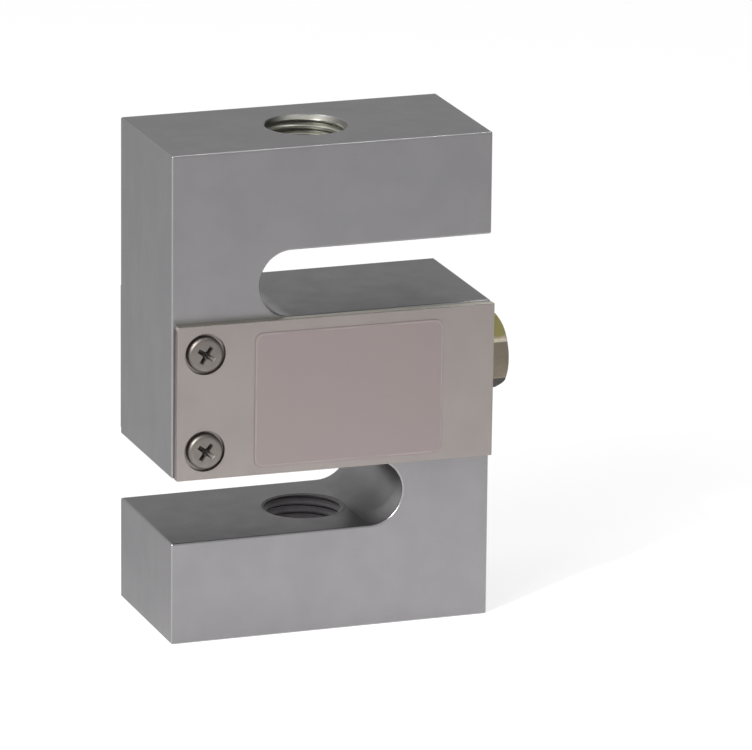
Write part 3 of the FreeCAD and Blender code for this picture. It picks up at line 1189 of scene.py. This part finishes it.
@dataclass
class CableGland:
    """The hexagonal gland in the right side, with the ring, washer and grommet that it holds.

    Its mesh stores painted shade on the undersides and a painted highlight on the upper edges. A face is an
    underside where its normal points down past underside_slope, and an end where it points along X past
    end_slope. A corner lies on an edge where all its faces turn away from the nearest flat by more than
    edge_slope.
    """

    head_length: float = 5.4 * MM
    shank_radius: float = 4.0 * MM
    shank_tip: float = 0.3 * MM
    bore_radius: float = 2.5 * MM
    mouth_radius: float = 2.9 * MM
    mouth_length: float = 4.2 * MM
    mouth_round: float = 0.4 * MM
    head_chamfer: float = 0.80 * MM
    chamfer_slope: float = math.radians(30)
    edge_round: float = 0.32 * MM
    edge_faces: int = 3
    thread_pitch: float = 1.0 * MM
    thread_depth: float = 0.45 * MM
    margin: float = 1.0 * MM
    steps: int = 96
    underside_slope: float = -0.75
    underside_shade: float = 0.95
    edge_slope: float = math.radians(8)
    end_slope: float = 0.3
    edge_highlight: float = 0.9
    # The light edge colour is the painted highlight on the upper bevels, and the darker, yellower colour is
    # used above a height.
    brass: MetalFinish = MetalFinish(
        name="plated_brass_tinted_top",
        colour=(0.157, 0.137, 0.104),
        stain=(0.143, 0.118, 0.100),
        edge=(0.74, 0.69, 0.55),
        roughness=0.30,
        stain_size=3.5 * MM,
        lay_size=(0.1 * MM, 3 * MM, 3 * MM),
        tinted_patch=(0.104, 0.095, 0.038),
        tint_above=41.4 * MM,
    )
    plain_brass: MetalFinish = MetalFinish(
        name="plain_brass",
        colour=(0.50, 0.36, 0.13),
        stain=(0.36, 0.26, 0.10),
        roughness=0.32,
        stain_size=2 * MM,
    )
    fibre: SoftFinish = SoftFinish("fibre_ring", (0.09, 0.018, 0.012), (0.14, 0.04, 0.025), 0.7)
    rubber: SoftFinish = SoftFinish("grommet_rubber", (0.016, 0.016, 0.016), (0.028, 0.028, 0.028), 0.58)

    def envelope(self, corner_radius: float, length: float) -> Workpiece:
        """Turn the gland's outer and inner outline, with the head's end at height zero.

        Args:
            corner_radius: The radius over the hexagon's corners.
            length: From the head's end to the shank's.

        Returns:
            The turned ring that the hexagon is cut with.
        """
        chamfer_length = self.head_chamfer * math.tan(self.chamfer_slope)
        core = self.shank_radius - self.thread_depth
        work = Workpiece()
        work.lathe([
            (self.mouth_radius + self.mouth_round, 0.0),
            (corner_radius - self.head_chamfer, 0.0),
            (corner_radius + self.margin, -chamfer_length * (1 + self.margin / self.head_chamfer)),
            (corner_radius + self.margin, -self.head_length),
            (core, -self.head_length),
            (core, -length),
            (self.bore_radius, -length),
            (self.bore_radius, -self.mouth_length),
            (self.mouth_radius, -self.mouth_length),
            (self.mouth_radius, -self.mouth_round),
        ], self.steps, closed=True)
        return work

    def hexagon(self, corner_radius: float, length: float) -> Workpiece:
        """A hexagonal bar with rounded edges and a corner upwards, longer than the gland at both ends.

        Args:
            corner_radius: The radius over the hexagon's corners.
            length: From the head's end to the shank's.

        Returns:
            The bar.
        """
        work = Workpiece()
        bmesh.ops.create_cone(work.bm, cap_ends=True, segments=6, radius1=corner_radius,
                              radius2=corner_radius, depth=length + 2 * self.margin)
        corner_up = Matrix.Rotation(math.pi / 2, 4, "Z")
        work.move(Matrix.Translation((0, 0, -length / 2)) @ corner_up)
        long_edges = [edge for edge in work.bm.edges if edge.verts[0].co.z * edge.verts[1].co.z < 0]
        work.round_off(long_edges, Rounded.EDGES, self.edge_round, self.edge_faces)
        work.clean()
        return work

    def store_shade_and_highlight(self, work: Workpiece, middle: float) -> None:
        """Store painted shade on the undersides and a painted highlight on the upper edges.

        Args:
            work: The gland in its place.
            middle: The height of its axis.
        """
        stored = work.bm.verts.layers.float.new(STORED_SHADE)
        work.clean()
        highlighted = work.bm.verts.layers.float.new(STORED_HIGHLIGHT)
        for corner in work.bm.verts:
            normals = [face.normal for face in corner.link_faces if abs(face.normal.x) < self.end_slope]
            turns = [math.remainder(math.atan2(normal.z, -normal.y), math.pi / 3) for normal in normals]
            # Painted shade on faces that look down, and a painted highlight on the upper bevels.
            if any(normal.z < self.underside_slope for normal in normals):
                corner[stored] = self.underside_shade
            elif turns and corner.co.z > middle and all(abs(turn) > self.edge_slope for turn in turns):
                corner[highlighted] = self.edge_highlight

    def build(self) -> list[bpy.types.Object]:
        """Make the gland and dress what it holds.

        Returns:
            The gland, its sealing ring, washer and grommet.
        """
        low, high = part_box("gland_screw")
        centre = (low + high) / 2
        corner_radius = (high.z - low.z) / 2
        length = high.x - low.x
        work = self.hexagon(corner_radius, length)
        work.intersect(self.envelope(corner_radius, length))
        core, flat = self.shank_radius - self.thread_depth, NARROW_FLAT * self.thread_pitch
        ridge = ThreadRidge(self.thread_pitch, core, self.shank_radius, flat, flat)
        work.absorb(ridge.build(-length + self.shank_tip, -self.head_length - self.thread_pitch, -length))
        sideways = Matrix.Rotation(math.pi / 2, 4, "Y")
        work.move(Matrix.Translation((high.x, centre.y, centre.z)) @ sideways)
        self.store_shade_and_highlight(work, centre.z)
        return [
            work.finish("gland_hexagon_screw", Slot.GLAND, self.brass.material(), ["gland_screw"]),
            dress("gland_seal_ring", self.fibre.material()),
            dress("thrust_washer", self.plain_brass.material()),
            dress("cable_grommet", self.rubber.material()),
        ]


@dataclass
class GaugeBridge:
    """What lies in the two pockets: gauges, their wires, the potting, the boards and the resistors."""

    slope: float = math.radians(45)
    wires: range = range(1, 5)
    copper: MetalFinish = MetalFinish(
        name="enamelled_copper",
        colour=(0.55, 0.22, 0.10),
        stain=(0.40, 0.14, 0.06),
        roughness=0.3,
        stain_size=1 * MM,
    )
    link: SoftFinish = SoftFinish("link_wire_sleeve", (0.38, 0.02, 0.015), (0.48, 0.05, 0.03), 0.45)
    silicone: SoftFinish = SoftFinish("potting_silicone", (0.60, 0.60, 0.57), (0.68, 0.67, 0.62), 0.35,
                                      clearness=0.2)
    ceramic: SoftFinish = SoftFinish("resistor_ceramic", (0.02, 0.02, 0.025), (0.05, 0.05, 0.055), 0.4,
                                     fleck_size=0.4 * MM)

    def build(self) -> list[bpy.types.Object]:
        """Dress every piece in the pockets.

        Returns:
            The pieces.
        """
        films = [GaugeFinish("gauge_film_falling", -self.slope).material(),
                 GaugeFinish("gauge_film_rising", self.slope).material()]
        copper, link = self.copper.material(), self.link.material()
        silicone, board = self.silicone.material(), BoardFinish("board_laminate").material()
        ceramic = self.ceramic.material()
        pieces = []
        for side in Side:
            for index, film in enumerate(films, start=1):
                pieces.append(dress(f"strain_gauge_{side.word}_{index}", film))
            for index in self.wires:
                pieces.append(dress(f"gauge_lead_{side.word}_{index}", copper))
            pieces.append(dress(side.word + "_potting", silicone))
        for index in self.wires:
            pieces.append(dress(f"link_lead_{index}", link))
        for name in ("balance_board", "rear_terminal_board"):
            pieces.append(dress(name, board))
        for name in ("zero_resistor", "span_resistor", "temperature_resistor"):
            pieces.append(dress(name, ceramic))
        return pieces


@dataclass(frozen=True)
class Panel:
    """One soft panel that faces the cell."""

    name: str
    direction: Triple
    distance: float
    width: float
    height: float
    power: float

    def build(self, target: Vector) -> None:
        """Hang the panel.

        Args:
            target: The point that it faces.
        """
        data = bpy.data.lights.new(self.name, "AREA")
        data.shape, data.size, data.size_y, data.energy = "RECTANGLE", self.width, self.height, self.power
        panel = show(self.name, data)
        outward = Vector(self.direction).normalized()
        panel.location = target + outward * self.distance
        aim(panel, outward)


@dataclass
class Studio:
    """White floor and surroundings, soft lamps, and the camera at the photograph's angle."""

    eye: Triple = (-349.982 * MM, -1019.050 * MM, 347.275 * MM)
    azimuth: float = math.radians(-19.5347)
    elevation: float = math.radians(16.0706)
    roll: float = math.radians(0.5639)
    lens: float = 351.87
    sensor: float = 36.0
    ambient: float = 0.55
    sky_top: float = 0.72
    sky_span: Span = (0.0, 0.30)
    dim_right: float = 0.85
    dim_right_span: Span = (0.40, 0.75)
    dim_height_span: Span = (0.05, 0.30)
    floor_radius: float = 6.0
    floor_steps: int = 96
    floor_drop: float = 0.02 * MM
    floor_white: float = 0.78
    floor_seen_white: float = 0.30
    floor_glow: float = 0.20
    floor_seen_glow: float = 0.74
    panels: tuple[Panel, ...] = (
        Panel("overhead_panel", (0.32, 0.061, 0.945), 0.90, 0.11, 0.26, 1.1),
        Panel("left_panel", (-0.68, -0.46, 0.57), 0.80, 0.42, 0.34, 4.4),
        Panel("high_left_panel", (-0.46, 0.04, 0.89), 0.85, 0.16, 0.16, 0.6),
    )
    pool_eye: Triple = (-0.56, -0.40, 0.56)
    pool_spot: Triple = (0.03, -0.042, 0.0)
    pool_width: float = math.radians(13.4)
    pool_softness: float = 0.04
    pool_power: float = 39.5

    def camera(self) -> None:
        """Place the camera by its eye point and angles."""
        azimuth, elevation = self.azimuth, self.elevation
        back = Vector((math.sin(azimuth) * math.cos(elevation), -math.cos(azimuth) * math.cos(elevation),
                       math.sin(elevation)))
        level = Vector((math.cos(azimuth), math.sin(azimuth), 0.0))
        right = Matrix.Rotation(self.roll, 3, back) @ level
        up = back.cross(right)
        data = bpy.data.cameras.new("photo_camera")
        data.lens, data.sensor_width, data.sensor_fit = self.lens, self.sensor, "HORIZONTAL"
        camera = show("photo_camera", data)
        camera.matrix_world = Matrix.Translation(self.eye) @ Matrix((right, up, back)).transposed().to_4x4()
        bpy.context.scene.camera = camera

    def world(self) -> None:
        """White to the eye and at the horizon of reflections, dimmer overhead and plain for the rest."""
        world = bpy.data.worlds.new("studio")
        bpy.context.scene.world = world
        tree = FinishTree(world)
        seen, mirrored = tree.sight()
        right, _, height = tree.axes(tree.add("TexCoord").outputs["Generated"])
        dome = 1.0 - height.ramp(*self.sky_span) * (1.0 - self.sky_top)
        dimmed = right.ramp(*self.dim_right_span) * height.ramp(*self.dim_height_span)
        dome = dome * (1.0 - dimmed * self.dim_right)
        plain = (1.0 - seen) * (1.0 - mirrored)
        strength = seen + mirrored * dome + plain * self.ambient
        shader = tree.add("Background", None, {"Color": opaque(WHITE), "Strength": strength})
        tree.add("OutputWorld", None, {"Surface": shader.outputs[0]})

    def floor(self) -> None:
        """Lay a wide white floor that keeps the cell's shadow."""
        work = Workpiece()
        bmesh.ops.create_circle(work.bm, cap_ends=True, segments=self.floor_steps, radius=self.floor_radius)
        work.move(Matrix.Translation((0, 0, -self.floor_drop)))
        mesh = work.to_mesh("floor")
        work.bm.free()
        tree = new_tree("white_floor")
        seen, mirrored = tree.sight()
        white = tree.mix(seen, (self.floor_white,) * 3, (self.floor_seen_white,) * 3)
        glow = seen * self.floor_seen_glow + mirrored * self.floor_glow
        matte = tree.add("BsdfDiffuse", None, {"Color": white})
        lit = tree.add("Emission", None, {"Color": opaque(WHITE), "Strength": glow})
        both = tree.add("AddShader", None, {0: matte.outputs[0], 1: lit.outputs[0]})
        tree.add("OutputMaterial", None, {"Surface": both.outputs[0]})
        mesh.materials.append(tree.owner)
        floor = show("floor", mesh)

    def pool(self) -> None:
        """Aim a soft spotlight at the floor before the cell, which brightens its lower front."""
        data = bpy.data.lights.new("floor_pool", "SPOT")
        data.energy, data.spot_size, data.spot_blend = self.pool_power, self.pool_width, 1.0
        data.shadow_soft_size = self.pool_softness
        spot = show("floor_pool", data)
        spot.location = self.pool_eye
        aim(spot, Vector(self.pool_eye) - Vector(self.pool_spot))

    def build(self) -> None:
        """Set up the whole studio."""
        bpy.context.scene.view_settings.view_transform = "Standard"
        low, high = cad_box
        for panel in self.panels:
            panel.build((low + high) / 2)
        self.pool()
        self.world()
        self.floor()
        self.camera()


def main() -> None:
    """Build the studio, then each sub-assembly, and report its pieces."""
    logging.basicConfig(level=logging.INFO, format="%(name)s: %(message)s")
    Studio().build()
    for assembly in (LoadBeam(), Covers(), CableGland(), GaugeBridge()):
        for piece in assembly.build():
            log.info("%s: %s, %d faces", type(assembly).__name__, piece.name, len(piece.data.polygons))


if __name__ == "__main__":
    main()
